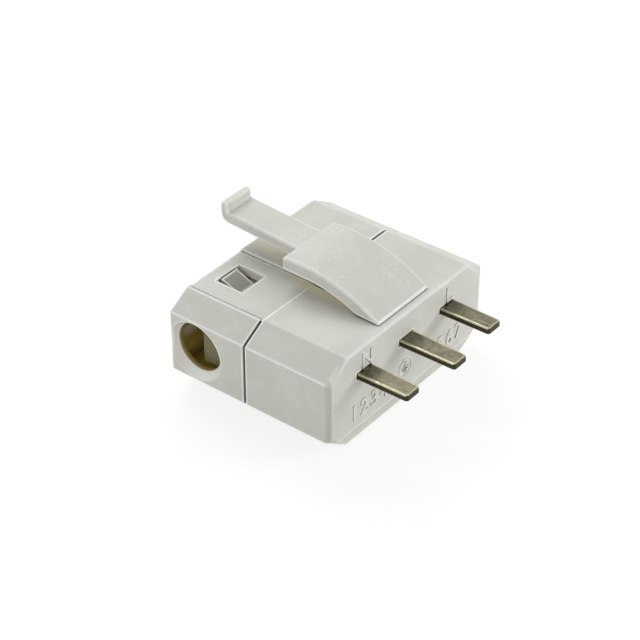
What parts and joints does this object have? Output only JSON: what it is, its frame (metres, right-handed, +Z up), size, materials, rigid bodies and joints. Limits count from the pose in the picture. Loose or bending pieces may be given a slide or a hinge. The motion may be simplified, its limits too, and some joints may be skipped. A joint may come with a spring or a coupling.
{
  "type": "ceiling light plug",
  "caption": "Flat ceiling light plug with a blade row, a side cord entry, a cord clamp and a sprung latch lever on top.",
  "frame": {"origin": "under the middle of the whole plug, on the plane of the housing's underside", "axes": "+X along the blade row from neutral to live, -Y the way the blades point, +Z up to the latch lever"},
  "size_m": [0.038, 0.043, 0.0231],
  "materials": {
    "housing_white": "fine spark-eroded off-white moulding",
    "lever_white": "fine spark-eroded off-white moulding",
    "carrier_grey": "plain moulding",
    "clamp_grey": "smooth semi-gloss moulding",
    "blade_nickel": "nickel plated, lightly scratched",
    "terminal_brass": "plain drawn",
    "screw_steel": "zinc plated",
    "spring_steel": "drawn wire"
  },
  "bodies": {
    "housing": {"front_housing": "housing_white", "rear_cover": "housing_white", "terminal_carrier": "carrier_grey", "cord_clamp": "clamp_grey", "latch_spring": "spring_steel", "blade_neutral": "blade_nickel", "blade_earth": "blade_nickel", "blade_live": "blade_nickel", "terminal_neutral": "terminal_brass", "terminal_earth": "terminal_brass", "terminal_live": "terminal_brass", "screw_neutral": "screw_steel", "screw_earth": "screw_steel", "screw_live": "screw_steel"},
    "latch": {"latch_lever": "lever_white"}
  },
  "joints": [
    {"name": "latch_press", "type": "hinge", "parent": "housing", "child": "latch", "pos_m": [0.0002, -0.0082, 0.0148], "axis": [-1, 0, 0], "range_deg": [0, 6], "stiffness_Nm_per_rad": 0.01, "springref_deg": -2.86, "deforming": ["latch_spring"]}
  ]
}
